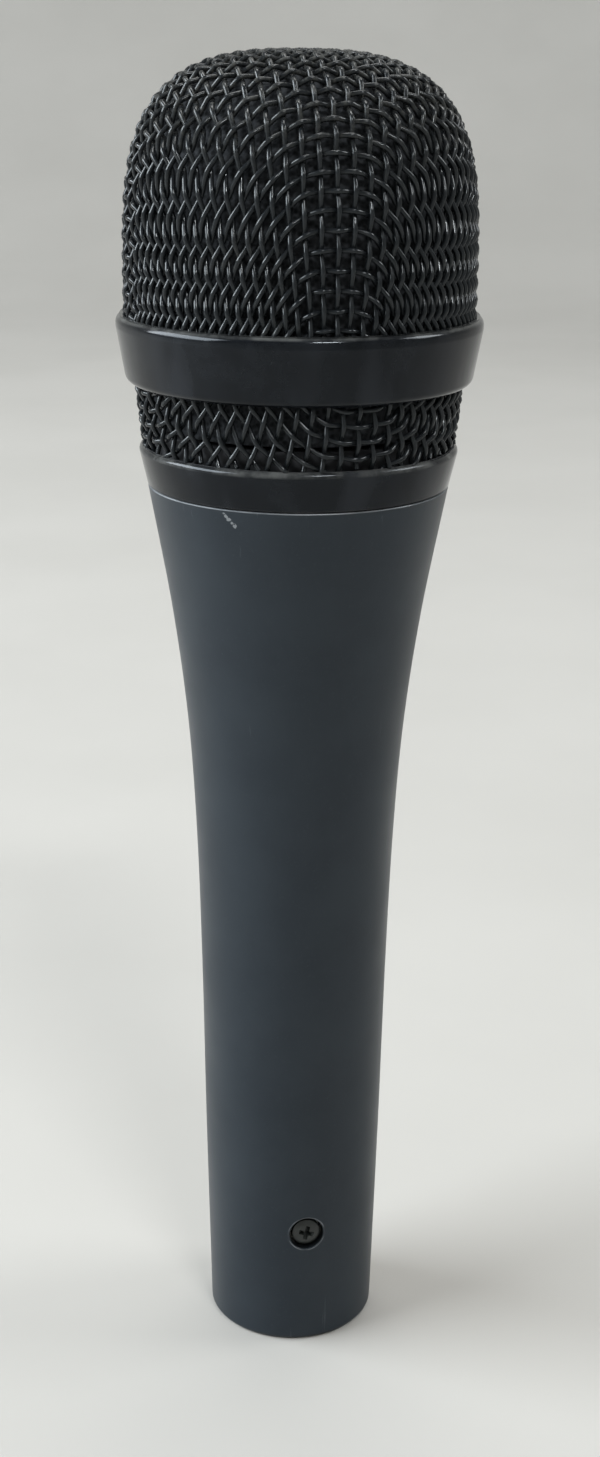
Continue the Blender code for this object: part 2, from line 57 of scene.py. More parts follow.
HANDLE_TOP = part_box("handle_shell")[1].z
COLLAR_LOW, COLLAR_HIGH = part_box("grille_collar")
RING_LOW, RING_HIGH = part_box("crash_ring")
COLLAR_TOP = 130.6 * MM
DOME_LOW, DOME_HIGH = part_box("upper_mesh")
BAND_LOW, BAND_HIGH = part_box("lower_mesh")
SCREW_LOW, SCREW_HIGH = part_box("retaining_screw")
SCREW_Z = (SCREW_LOW.z + SCREW_HIGH.z) / 2
SCREW_R = (SCREW_HIGH.z - SCREW_LOW.z) / 2
SCREW_FRONT = SCREW_LOW.y
SCREW_HOLE_R = SCREW_R + 0.45 * MM

# ---------------------------------------------------------------- camera and stage

CAMERA_DISTANCE = 270.0 * MM
CAMERA_HEIGHT = 181.5 * MM
CAMERA_SIDE = 0.56 * MM
CAMERA_AZIMUTH = math.radians(-10.5)
CAMERA_PITCH = math.radians(-18.6)
CAMERA_ROLL = math.radians(0.57)
LENS = 50.95
SENSOR = 36.0
LIT_POINT = Vector((0.0, 0.0, 0.13))


def make_camera():
    data = bpy.data.cameras.new("camera")
    data.sensor_width = SENSOR
    data.lens = LENS
    data.clip_start = 0.01
    data.clip_end = 20.0
    camera = bpy.data.objects.new("camera", data)
    bpy.context.scene.collection.objects.link(camera)
    camera.matrix_world = (
        Matrix.Rotation(CAMERA_AZIMUTH, 4, "Z")
        @ Matrix.Translation((CAMERA_SIDE, -CAMERA_DISTANCE, CAMERA_HEIGHT))
        @ Matrix.Rotation(math.pi / 2 + CAMERA_PITCH, 4, "X")
        @ Matrix.Rotation(CAMERA_ROLL, 4, "Z")
    )
    bpy.context.scene.camera = camera
    bpy.context.scene.view_settings.view_transform = "Standard"


def make_stage():
    """A pale floor that curves up into a wall far outside every camera position."""
    flat, bend, wall = 1.1, 0.7, 1.2
    outline = [(0.0, 0.0), (flat, 0.0)]
    for step in range(1, 13):
        angle = math.pi / 2 * step / 12
        outline.append((flat + bend * math.sin(angle), bend * (1 - math.cos(angle))))
    outline.append((flat + bend, bend + wall))
    floor = lathe("floor", outline[::-1], steps=96, closed=False)
    floor.data.materials.append(floor_material())


def soft_light(name, turn, rise, distance, size, watts, color=(1.0, 1.0, 1.0)):
    """A rectangular light aimed at the head, turned this many degrees right of the camera."""
    data = bpy.data.lights.new(name, "AREA")
    data.shape = "RECTANGLE"
    data.size, data.size_y = size
    data.energy = watts
    data.color = color
    light = bpy.data.objects.new(name, data)
    bpy.context.scene.collection.objects.link(light)
    azimuth = CAMERA_AZIMUTH + math.radians(turn)
    rise = math.radians(rise)
    toward = Vector((
        math.cos(rise) * math.sin(azimuth), -math.cos(rise) * math.cos(azimuth), math.sin(rise),
    ))
    light.location = LIT_POINT + toward * distance
    light.rotation_euler = toward.to_track_quat("Z", "Y").to_euler()


def make_lights():
    """A large window at the left, a smaller one at the right, a panel overhead and a lamp."""
    world = bpy.data.worlds.new("world")
    world.use_nodes = True
    background = world.node_tree.nodes["Background"]
    background.inputs["Color"].default_value = (0.90, 0.94, 1.0, 1.0)
    background.inputs["Strength"].default_value = 0.11
    bpy.context.scene.world = world
    soft_light("window_left", -84.0, 30.0, 1.5, (1.4, 0.8), 50.0, (0.91, 0.96, 1.0))
    soft_light("window_right", 98.0, 38.0, 1.5, (0.55, 0.5), 9.0, (0.97, 0.99, 1.0))
    soft_light("overhead", 172.0, 72.0, 1.7, (0.9, 0.7), 15.0, (1.0, 0.985, 0.96))
    soft_light("lamp", 20.0, 48.0, 0.95, (0.22, 0.07), 3.6)


# ---------------------------------------------------------------- material helpers

# the Mix node has sockets of each type under the same names, so its colour ones go by number
MIX_COLOR_A = 6
MIX_COLOR_B = 7
MIX_COLOR_RESULT = 2


class Graph:
    """A node material that is built one call at a time."""

    def __init__(self, name, color, metallic=0.0, roughness=0.5):
        self.material = bpy.data.materials.new(name)
        self.material.use_nodes = True
        self.tree = self.material.node_tree
        self.shader = self.tree.nodes["Principled BSDF"]
        self.shader.inputs["Base Color"].default_value = (*color, 1.0)
        self.shader.inputs["Metallic"].default_value = metallic
        self.shader.inputs["Roughness"].default_value = roughness
        self.place = self.tree.nodes.new("ShaderNodeTexCoord").outputs["Object"]

    def link(self, value, socket):
        if isinstance(value, bpy.types.NodeSocket):
            self.tree.links.new(value, socket)
        elif hasattr(value, "__len__") and len(value) == 3 and socket.type == "RGBA":
            socket.default_value = (*value, 1.0)
        else:
            socket.default_value = value

    def set(self, name, value):
        self.link(value, self.shader.inputs[name])

    def math(self, operation, a, b=0.0):
        node = self.tree.nodes.new("ShaderNodeMath")
        node.operation = operation
        self.link(a, node.inputs[0])
        self.link(b, node.inputs[1])
        return node.outputs[0]

    def stretched(self, scale):
        """The object's coordinates, scaled differently along each axis."""
        node = self.tree.nodes.new("ShaderNodeMapping")
        self.link(self.place, node.inputs["Vector"])
        node.inputs["Scale"].default_value = scale
        return node.outputs["Vector"]

    def noise(self, scale, detail=2.0, rough=0.5, vector=None):
        node = self.tree.nodes.new("ShaderNodeTexNoise")
        self.link(self.place if vector is None else vector, node.inputs["Vector"])
        node.inputs["Scale"].default_value = scale
        node.inputs["Detail"].default_value = detail
        node.inputs["Roughness"].default_value = rough
        return node.outputs["Fac"]

    def cells(self, scale):
        node = self.tree.nodes.new("ShaderNodeTexVoronoi")
        self.link(self.place, node.inputs["Vector"])
        node.inputs["Scale"].default_value = scale
        return node.outputs["Distance"]

    def range(self, value, low, high, to_low=0.0, to_high=1.0):
        """The value's stretch from low to high, turned smoothly into to_low to to_high."""
        node = self.tree.nodes.new("ShaderNodeMapRange")
        node.interpolation_type = "SMOOTHSTEP"
        self.link(value, node.inputs["Value"])
        node.inputs["From Min"].default_value = low
        node.inputs["From Max"].default_value = high
        node.inputs["To Min"].default_value = to_low
        node.inputs["To Max"].default_value = to_high
        return node.outputs["Result"]

    def mix(self, factor, a, b):
        node = self.tree.nodes.new("ShaderNodeMix")
        node.data_type = "RGBA"
        self.link(factor, node.inputs["Factor"])
        self.link(a, node.inputs[MIX_COLOR_A])
        self.link(b, node.inputs[MIX_COLOR_B])
        return node.outputs[MIX_COLOR_RESULT]

    def axis(self, which):
        node = self.tree.nodes.new("ShaderNodeSeparateXYZ")
        self.link(self.place, node.inputs[0])
        return node.outputs[which]

    def distance(self, point, squash=(1.0, 1.0, 1.0)):
        """Distance from a point, measured with each axis scaled."""
        shift = self.tree.nodes.new("ShaderNodeVectorMath")
        shift.operation = "SUBTRACT"
        self.link(self.place, shift.inputs[0])
        shift.inputs[1].default_value = point
        scale = self.tree.nodes.new("ShaderNodeVectorMath")
        scale.operation = "MULTIPLY"
        self.link(shift.outputs[0], scale.inputs[0])
        scale.inputs[1].default_value = squash
        length = self.tree.nodes.new("ShaderNodeVectorMath")
        length.operation = "LENGTH"
        self.link(scale.outputs[0], length.inputs[0])
        return length.outputs["Value"]

    def bump(self, height, strength, distance):
        node = self.tree.nodes.new("ShaderNodeBump")
        node.inputs["Strength"].default_value = strength
        node.inputs["Distance"].default_value = distance
        self.link(height, node.inputs["Height"])
        self.link(node.outputs["Normal"], self.shader.inputs["Normal"])


def floor_material():
    g = Graph("floor_paper", (0.375, 0.368, 0.348), roughness=0.8)
    tone = g.range(g.noise(9.0, 4.0), 0.3, 0.7)
    g.set("Base Color", g.mix(tone, (0.365, 0.358, 0.338), (0.385, 0.378, 0.358)))
    return g.material


def enamel():
    """Satin blue-grey enamel of the handle, with fine grain, handling marks and worn edges."""
    g = Graph("handle_enamel", (0.038, 0.055, 0.064), roughness=0.45)
    g.shader.inputs["Specular IOR Level"].default_value = 0.26
    tone = g.range(g.noise(70.0, 4.0, 0.6), 0.3, 0.7)
    paint = g.mix(tone, (0.0118, 0.0174, 0.0236), (0.0165, 0.0232, 0.0300))
    speck = g.range(g.noise(2600.0, 1.0), 0.60, 0.80)
    paint = g.mix(speck, paint, (0.0175, 0.0245, 0.0315))
    scratch_lines = g.noise(1.0, 3.0, 0.55, g.stretched((900.0, 900.0, 42.0)))
    scratch_zone = g.range(g.noise(38.0, 1.0), 0.56, 0.66)
    scratches = g.math("MULTIPLY", g.range(scratch_lines, 0.66, 0.72), scratch_zone)
    paint = g.mix(g.math("MULTIPLY", scratches, 0.5), paint, (0.10, 0.11, 0.12))

    ragged = g.noise(1500.0, 3.0, 0.65)
    fine = g.math("MULTIPLY", ragged, 1.1 * MM)
    # the worn top edge, as a thin line that breaks up round the handle
    below_top = g.math("SUBTRACT", HANDLE_TOP, g.axis(2))
    edge = g.range(below_top, 0.10 * MM, 0.24 * MM, 1.0, 0.0)
    patches = g.range(g.noise(120.0, 3.0, 0.6), 0.36, 0.62, 0.35, 1.0)
    edge = g.math("MULTIPLY", edge, patches)
    # a bare ragged mark that runs down from the top edge
    chips = 0.0
    chip_r = 19.6 * MM
    for step in range(5):
        angle = math.radians(-38.6 + 1.1 * step)
        drop = (0.5 + 0.4 * step) * MM
        point = (chip_r * math.sin(angle), -chip_r * math.cos(angle), HANDLE_TOP - drop)
        gap = g.math("ADD", g.distance(point, (1.0, 1.0, 1.3)), fine)
        size = (0.95 - 0.02 * (step - 2) ** 2) * MM
        spot = g.range(gap, size - 0.15 * MM, size, 1.0, 0.0)
        chips = g.math("MAXIMUM", spot, chips)
    # the rim of the screw's hole
    across = g.math("POWER", g.axis(0), 2.0)
    up = g.math("POWER", g.math("SUBTRACT", g.axis(2), SCREW_Z), 2.0)
    from_hole = g.math("SQRT", g.math("ADD", across, up))
    near = g.range(from_hole, SCREW_HOLE_R + 0.10 * MM, SCREW_HOLE_R + 0.16 * MM)
    far = g.range(from_hole, SCREW_HOLE_R + 0.22 * MM, SCREW_HOLE_R + 0.32 * MM, 1.0, 0.0)
    front = g.range(g.axis(1), -11.0 * MM, -9.0 * MM, 1.0, 0.0)
    rim = g.math("MULTIPLY", g.math("MULTIPLY", near, far), front)
    rim = g.math("MULTIPLY", rim, g.range(g.noise(420.0, 2.0), 0.35, 0.65, 0.03, 0.35))

    # painted shade on the wall of the screw's hole
    hole_shade = g.range(from_hole, SCREW_HOLE_R - 0.02 * MM, SCREW_HOLE_R + 0.06 * MM, 1.0, 0.0)
    paint = g.mix(g.math("MULTIPLY", hole_shade, front), paint, (0.003, 0.0036, 0.004))

    bare = g.math("MAXIMUM", g.math("MULTIPLY", edge, 0.55), g.math("MULTIPLY", chips, 0.48))
    bare = g.math("MAXIMUM", bare, rim)
    g.set("Base Color", g.mix(bare, paint, (0.36, 0.38, 0.40)))
    g.set("Metallic", g.math("MULTIPLY", bare, 0.7))
    worn = g.range(g.noise(55.0, 3.0, 0.6), 0.3, 0.7, 0.35, 0.43)
    g.set("Roughness", g.math("SUBTRACT", worn, g.math("MULTIPLY", scratches, 0.08)))
    grain = g.noise(3600.0, 2.0, 0.6)
    relief = g.math("SUBTRACT", grain, g.math("MULTIPLY", chips, 1.5))
    g.bump(relief, 0.28, 0.02 * MM)
    return g.material


def lacquer():
    """Deep gloss black of the collar and the ring, a little wavy, with painted reflection streaks and
    a painted highlight along the top edges.
    """
    g = Graph("gloss_lacquer", (0.004, 0.005, 0.0055), roughness=0.16)
    g.shader.inputs["Specular IOR Level"].default_value = 0.22
    g.shader.inputs["Specular Tint"].default_value = (0.86, 0.93, 1.0, 1.0)
    haze = g.range(g.noise(160.0, 4.0, 0.6), 0.42, 0.72)
    black = g.mix(haze, (0.0028, 0.0034, 0.0046), (0.007, 0.0082, 0.0104))
    # painted reflections: soft vertical pale streaks round the ring and the collar
    reflection_streaks = g.noise(1.0, 2.0, 0.4, g.stretched((150.0, 150.0, 25.0)))
    black = g.mix(g.range(reflection_streaks, 0.5, 0.68), black, (0.0115, 0.013, 0.016))
    height = g.axis(2)
    # painted highlight: a pale broken line along the top edges of the ring and the collar, which are
    # also made a little rougher there
    ring_edge = g.range(height, RING_HIGH.z - 0.55 * MM, RING_HIGH.z - 0.25 * MM)
    above = g.range(height, COLLAR_TOP - 0.9 * MM, COLLAR_TOP - 0.5 * MM)
    below = g.range(height, COLLAR_TOP, COLLAR_TOP + 0.2 * MM, 1.0, 0.0)
    edge = g.math("MAXIMUM", ring_edge, g.math("MULTIPLY", above, below))
    painted_edge_highlight = g.math("MULTIPLY", edge, g.range(g.noise(240.0, 4.0, 0.65), 0.38, 0.68, 0.1, 0.8))
    g.set("Base Color", g.mix(painted_edge_highlight, black, (0.085, 0.088, 0.086)))
    smear = g.range(g.noise(95.0, 3.0, 0.6), 0.35, 0.68, 0.10, 0.20)
    nick = g.range(g.noise(900.0, 3.0, 0.7), 0.70, 0.76)
    dull = g.math("ADD", g.math("MULTIPLY", nick, 0.25), g.math("MULTIPLY", painted_edge_highlight, 0.12))
    g.set("Roughness", g.math("ADD", smear, dull))
    wavy = g.noise(330.0, 2.0, 0.5)
    relief = g.math("SUBTRACT", wavy, g.math("MULTIPLY", nick, 0.25))
    g.bump(relief, 0.16, 0.12 * MM)
    return g.material


def wire_lacquer():
    """Black lacquered wire with small glossy glints, and dust that thickens toward the top."""
    g = Graph("wire_lacquer", (0.004, 0.0045, 0.0048), roughness=0.2)
    g.shader.inputs["Specular IOR Level"].default_value = 0.28
    g.shader.inputs["Specular Tint"].default_value = (0.92, 0.97, 1.0, 1.0)
    dark = g.mix(g.noise(700.0, 2.0), (0.008, 0.0094, 0.0108), (0.013, 0.015, 0.0168))
    grit = g.range(g.noise(1500.0, 3.0, 0.65), 0.40, 0.70)
    high_up = g.range(g.axis(2), 162.0 * MM, 180.0 * MM, 0.0, 0.8)
    patch = g.range(g.noise(120.0, 3.0, 0.6), 0.52, 0.76, 0.0, 0.35)
    dust = g.math("MULTIPLY", g.math("MAXIMUM", high_up, patch), grit)
    g.set("Base Color", g.mix(dust, dark, (0.052, 0.052, 0.047)))
    gloss = g.range(g.noise(520.0, 3.0), 0.3, 0.7, 0.10, 0.24)
    g.set("Roughness", g.math("ADD", gloss, g.math("MULTIPLY", dust, 0.35)))
    g.bump(g.noise(2400.0, 2.0), 0.22, 0.03 * MM)
    return g.material


def foam_material():
    g = Graph("foam_black", (0.022, 0.024, 0.027), roughness=1.0)
    g.shader.inputs["Specular IOR Level"].default_value = 0.15
    pore = g.cells(1500.0)
    g.set("Base Color", g.mix(g.range(pore, 0.2, 0.7), (0.013, 0.0145, 0.016), (0.034, 0.037, 0.041)))
    g.bump(pore, 0.8, 0.25 * MM)
    return g.material


def turned_metal(name, color, roughness=0.28, marks=0.12):
    """Machined or plated metal with faint turning marks round the axis."""
    g = Graph(name, color, metallic=1.0, roughness=roughness)
    rings = g.noise(1.0, 2.0, 0.6, g.stretched((60.0, 60.0, 5200.0)))
    dull = tuple(0.78 * channel for channel in color)
    g.set("Base Color", g.mix(g.range(g.noise(260.0, 3.0), 0.35, 0.7), color, dull))
    g.set("Roughness", g.range(g.noise(400.0, 3.0), 0.3, 0.7, roughness * 0.8, roughness * 1.3))
    g.bump(rings, marks, 0.03 * MM)
    return g.material


def moulded(name, color, roughness=0.45, grain=0.2, scale=1400.0):
    """Moulded plastic, rubber or cloth with a fine grain."""
    g = Graph(name, color, roughness=roughness)
    light = tuple(1.45 * channel for channel in color)
    g.set("Base Color", g.mix(g.range(g.noise(scale / 4, 3.0), 0.35, 0.7), color, light))
    g.set("Roughness", g.range(g.noise(scale / 6, 2.0), 0.3, 0.7, roughness * 0.9, roughness * 1.1))
    g.bump(g.noise(scale, 3.0, 0.6), grain, 0.05 * MM)
    return g.material


def windings(name, color):
    """Rows of fine enamelled wire."""
    g = Graph(name, color, metallic=1.0, roughness=0.3)
    wave = g.tree.nodes.new("ShaderNodeTexWave")
    wave.bands_direction = "Z"
    wave.inputs["Scale"].default_value = 1100.0
    wave.inputs["Distortion"].default_value = 0.3
    g.link(g.place, wave.inputs["Vector"])
    dark = tuple(0.35 * channel for channel in color)
    g.set("Base Color", g.mix(wave.outputs["Fac"], dark, color))
    g.bump(wave.outputs["Fac"], 0.6, 0.08 * MM)
    return g.material


# ---------------------------------------------------------------- mesh helpers

SHARP_DEGREES = 38.0
ARC_STEPS = 6


def link_mesh(name, vertices, faces, sharp_degrees=SHARP_DEGREES):
    mesh = bpy.data.meshes.new(name)
    mesh.from_pydata(vertices, [], faces)
    mesh.validate()
    mesh.shade_smooth()
    mesh.set_sharp_from_angle(angle=math.radians(sharp_degrees))
    obj = bpy.data.objects.new(name, mesh)
    bpy.context.scene.collection.objects.link(obj)
    return obj


def lathe(name, outline, steps=160, closed=True, shift=None):
    """Turns an outline of (radius, height) that runs down its outer side.

    shift(radius, height, angle), where given, returns how far a point moves outwards.
    """
    vertices = []
    rings = []
    for radius, height in outline:
        if radius < 1e-7:
            rings.append([len(vertices)] * steps)
            vertices.append((0.0, 0.0, height))
            continue
        rings.append(list(range(len(vertices), len(vertices) + steps)))
        for step in range(steps):
            angle = math.tau * step / steps
            r = radius + (shift(radius, height, angle) if shift else 0.0)
            vertices.append((r * math.cos(angle), r * math.sin(angle), height))
    faces = []
    pairs = list(zip(rings, rings[1:] + rings[:1])) if closed else list(zip(rings, rings[1:]))
    for upper, lower in pairs:
        for step in range(steps):
            after = (step + 1) % steps
            face = [upper[step], lower[step], lower[after], upper[after]]
            faces.append(list(dict.fromkeys(face)))
    return link_mesh(name, vertices, faces)


def rounded(corners):
    """The outline with each (r, z, fillet) corner replaced by an arc of that radius."""
    points = []
    count = len(corners)
    for index, corner in enumerate(corners):
        here = Vector(corner[:2])
        if len(corner) == 2:
            points.append(tuple(here))
            continue
        before = (Vector(corners[index - 1][:2]) - here).normalized()
        after = (Vector(corners[(index + 1) % count][:2]) - here).normalized()
        half_angle = before.angle(after) / 2
        middle = here + (before + after).normalized() * (corner[2] / math.sin(half_angle))
        start = here + before * (corner[2] / math.tan(half_angle)) - middle
        end = here + after * (corner[2] / math.tan(half_angle)) - middle
        turn = start.angle_signed(end)
        for step in range(ARC_STEPS + 1):
            spoke = Matrix.Rotation(-turn * step / ARC_STEPS, 2) @ start
            points.append(tuple(middle + spoke))
    return points


def cut(piece, cutter):
    """Takes the cutter's shape out of the piece, and deletes the cutter."""
    modifier = piece.modifiers.new(cutter.name, "BOOLEAN")
    modifier.operation = "DIFFERENCE"
    modifier.solver = "EXACT"
    modifier.object = cutter
    bpy.context.view_layer.update()
    graph = bpy.context.evaluated_depsgraph_get()
    mesh = bpy.data.meshes.new_from_object(piece.evaluated_get(graph), depsgraph=graph)
    piece.modifiers.clear()
    piece.data = mesh
    bpy.data.objects.remove(cutter, do_unlink=True)


def in_mm(outline):
    """The outline's points, given in millimetres, as metres."""
    return [tuple(value * MM for value in point) for point in outline]


# ---------------------------------------------------------------- woven wire

WIRE_R = 0.33 * MM
CRIMP = 1.12 * WIRE_R
WEAVE_SAMPLES = 6
WIRE_SIDES = 8
WANDER = 0.04 * MM
ANGLES = np.linspace(0.0, math.pi / 2, 181)
DRAW_START = 9.0 * MM
DRAW_FULL = 38.0 * MM
NET_ROUNDS = 14
NORMAL_STEP = 0.4 * MM
WEAVE_SHARP_DEGREES = 70.0


def smooth_step(value, low, high):
    t = np.clip((value - low) / (high - low), 0.0, 1.0)
    return t * t * (3 - 2 * t)


def even_spread():
    """Share of the wires that cross a level circle from one line of the weave to each angle.

    Where the mesh is drawn deepest they lie nearly evenly, with none beside the next line.
    """
    density = 0.86 + 0.14 * smooth_step(ANGLES, math.radians(6), math.radians(16))
    density *= 1 - smooth_step(ANGLES, math.radians(69), math.radians(88))
    share = np.concatenate([[0.0], np.cumsum((density[1:] + density[:-1]) / 2)])
    return share / share[-1]


EVEN_SPREAD = even_spread()


class Turned:
    """A surface of revolution, read by the distance along its outline from its centre.

    side is 1 or -1, for the side of the outline that the normals point to.
    """

    def __init__(self, outline, side):
        points = np.array(outline)
        steps = np.hypot(*np.diff(points, axis=0).T)
        self.along = np.concatenate([[0.0], np.cumsum(steps)])
        self.radii = points[:, 0]
        self.heights = points[:, 1]
        self.side = side

    def profile(self, s):
        r = np.interp(s, self.along, self.radii)
        return r, np.interp(s, self.along, self.heights)

    def read(self, flat):
        """Points and outward normals where the flat sheet's places come to lie."""
        s = np.hypot(flat[:, 0], flat[:, 1])
        angle = np.arctan2(flat[:, 1], flat[:, 0])
        r, z = self.profile(s)
        r_in, z_in = self.profile(s - NORMAL_STEP)
        r_out, z_out = self.profile(s + NORMAL_STEP)
        length = np.hypot(r_out - r_in, z_out - z_in)
        sideways = self.side * (z_in - z_out) / length
        upward = self.side * (r_out - r_in) / length
        points = np.stack([r * np.cos(angle), r * np.sin(angle), z], axis=1)
        normals = [sideways * np.cos(angle), sideways * np.sin(angle), upward]
        return points, np.stack(normals, axis=1)


def drawn_net(pitch, reach):
    """Crossings of a square mesh that is drawn over a turned surface from its centre.

    The mesh lies flat and square at the centre. Further out its squares shear into steep
    diamonds, apart from narrow strips along its two straight lines. pitch is the spacing
    of the crossings down those lines, at the centre and at the foot. Returns
    {(i, j): (s, angle)} for one quadrant.
    """
    steps = np.linspace(0.0, reach, 400)
    pitches = pitch[0] + (pitch[1] - pitch[0]) * smooth_step(steps, 0.3 * reach, 0.8 * reach)
    rows = np.concatenate([[0.0], np.cumsum(np.diff(steps) / pitches[1:])])
    count = int(rows[-1])
    net = {(0, 0): (0.0, 0.0)}
    for i in range(count + 1):
        for j in range(count + 1):
            if i == 0 and j == 0:
                continue
            row = math.hypot(i, j)
            for _ in range(NET_ROUNDS):
                s = float(np.interp(row, rows, steps))
                drawn = smooth_step(s, DRAW_START, DRAW_FULL)
                share = (1 - drawn) * np.sin(ANGLES) + drawn * EVEN_SPREAD
                angle = float(np.interp(0.0, i * share - j * share[::-1], ANGLES))
                if i >= j:
                    row = i / float(np.interp(math.pi / 2 - angle, ANGLES, share))
                else:
                    row = j / float(np.interp(angle, ANGLES, share))
            if row < rows[-1]:
                net[i, j] = (s, angle)
    return net


def woven(name, surface, pitch, reach, turn, keep, seed):
    """Two pieces, one for each direction of wire, over the whole surface."""
    quadrant = drawn_net(pitch, reach)
    count = max(i for i, _ in quadrant)
    chance = random.Random(seed)
    to_turn = np.array([[math.cos(turn), math.sin(turn)], [-math.sin(turn), math.cos(turn)]])
    nodes = {}
    for i in range(-count, count + 1):
        for j in range(-count, count + 1):
            if (abs(i), abs(j)) not in quadrant:
                continue
            s, angle = quadrant[abs(i), abs(j)]
            across = math.copysign(s * math.cos(angle), i) + chance.gauss(0.0, WANDER)
            along = math.copysign(s * math.sin(angle), j) + chance.gauss(0.0, WANDER)
            nodes[i, j] = np.array([across, along]) @ to_turn
    pieces = []
    for direction in ("warp", "weft"):
        vertices = []
        faces = []
        for fixed in range(-count, count + 1):
            run = []
            for k in range(-count, count + 1):
                key = (fixed, k) if direction == "warp" else (k, fixed)
                if key in nodes:
                    run.append(nodes[key])
                    last = k
            if len(run) < 3:
                continue
            # a wire starts at its last crossing, over or under there by turns like the crossings
            parity = (fixed + last + (1 if direction == "warp" else 0)) % 2
            sweep(surface, np.array(run[::-1]), -1.0 if parity else 1.0, keep, vertices, faces)
        pieces.append(link_mesh(f"{name}_{direction}", vertices, faces, WEAVE_SHARP_DEGREES))
    return pieces


def sweep(surface, run, side, keep, vertices, faces):
    """Adds the tubes of one wire: smooth through its crossings, over and under by turns."""
    ends = np.vstack([2 * run[0] - run[1], run, 2 * run[-1] - run[-2]])
    flat = []
    lifts = []
    for k in range(len(run) - 1):
        a, b, c, d = ends[k:k + 4]
        for sample in range(WEAVE_SAMPLES):
            t = sample / WEAVE_SAMPLES
            flat.append(0.5 * (
                2 * b + (c - a) * t + (2 * a - 5 * b + 4 * c - d) * t**2
                + (3 * b - a - 3 * c + d) * t**3
            ))
            turned = math.pi * (k + t)
            # a cosine with tighter turns and straighter runs between, which still reaches 1 and -1
            lifts.append(side * (math.cos(turned) + math.cos(3 * turned) / 14) * 14 / 15)
    points, normals = surface.read(np.array(flat))
    line = points + CRIMP * np.array(lifts)[:, None] * normals
    shown = np.array([keep(point) for point in line])
    start = 0
    while start < len(line):
        if not shown[start]:
            start += 1
            continue
        end = start
        while end < len(line) and shown[end]:
            end += 1
        if end - start > 3:
            tube(line[start:end], normals[start:end], vertices, faces)
        start = end


def tube(line, ups, vertices, faces):
    """Adds one round wire with closed ends."""
    along = np.gradient(line, axis=0)
    along /= np.linalg.norm(along, axis=1)[:, None]
    across = np.cross(along, ups)
    across /= np.linalg.norm(across, axis=1)[:, None]
    over = np.cross(across, along)
    first = len(vertices)
    for index in range(len(line)):
        for side in range(WIRE_SIDES):
            angle = math.tau * side / WIRE_SIDES
            spoke = over[index] * math.cos(angle) + across[index] * math.sin(angle)
            vertices.append(tuple(line[index] + WIRE_R * spoke))
    rows = len(line)
    for index in range(rows - 1):
        for side in range(WIRE_SIDES):
            after = (side + 1) % WIRE_SIDES
            low = first + index * WIRE_SIDES
            high = low + WIRE_SIDES
            faces.append((low + side, low + after, high + after, high + side))
    faces.append(tuple(first + side for side in reversed(range(WIRE_SIDES))))
    faces.append(tuple(first + (rows - 1) * WIRE_SIDES + side for side in range(WIRE_SIDES)))


# ---------------------------------------------------------------- head

DOME_SPRING_Z = 150.0 * MM
DOME_CROWN_POWER = 2.9
DOME_SIDE_POWER = 3.75
MESH_THICK = 2 * (CRIMP + WIRE_R)
SPARE = 10 * MM
BAND_FOOT_R = 20.7 * MM
BAND_SHOULDER_Z = 138.2 * MM
DOME_PITCH = (1.95 * MM, 2.35 * MM)
BAND_PITCH = (2.0 * MM, 2.0 * MM)
WEAVE_TURN = math.radians(-88.8)
BAND_TURN = math.radians(-79.5)


def dome_outline(radius, height, steps, foot):
    """From the centre of the top out and down to the foot."""
    points = []
    for step in range(steps + 1):
        angle = math.pi / 2 * (step / steps) ** 1.2
        r = radius * math.sin(angle) ** (2 / DOME_CROWN_POWER)
        z = DOME_SPRING_Z + height * max(math.cos(angle), 0.0) ** (2 / DOME_SIDE_POWER)
        points.append((r, z))
    points.append((radius, foot))
    return points


def upper_weave(material):
    radius = DOME_HIGH.x - MESH_THICK / 2
    height = DOME_HIGH.z - DOME_SPRING_Z - MESH_THICK / 2
    foot = DOME_LOW.z
    surface = Turned(dome_outline(radius, height, 160, foot - SPARE), 1.0)
    reach = surface.along[-1] - SPARE
    lowest = foot + WIRE_R
    for piece in woven(
        "upper_weave", surface, DOME_PITCH, reach, WEAVE_TURN,
        lambda point: point[2] > lowest, 11,
    ):
        piece.data.materials.append(material)
        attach(piece, "grille_head")
        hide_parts("upper_mesh")


def lower_weave(material):
    """The band is the wall of a shallow cup whose bottom is cut out."""
    top = BAND_HIGH.z
    bottom = BAND_LOW.z
    widest = BAND_HIGH.x - MESH_THICK / 2
    narrow = BAND_FOOT_R - MESH_THICK / 2
    floor_z = bottom - 1.3 * MM
    corner = 1.2 * MM
    outline = [(0.0, floor_z), (narrow - corner, floor_z)]
    corner_steps = 16
    for step in range(1, corner_steps + 1):
        angle = math.pi / 2 * step / corner_steps
        outline.append((
            narrow - corner + corner * math.sin(angle), floor_z + corner * (1 - math.cos(angle)),
        ))
    outline += [(widest, BAND_SHOULDER_Z), (widest, top + SPARE)]
    surface = Turned(outline, -1.0)
    reach = surface.along[-1] - 9 * MM
    low = bottom - 0.5 * MM
    high = top - WIRE_R
    for piece in woven(
        "lower_weave", surface, BAND_PITCH, reach, BAND_TURN,
        lambda point: low < point[2] < high, 23,
    ):
        piece.data.materials.append(material)
        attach(piece, "grille_head")
        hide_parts("lower_mesh")


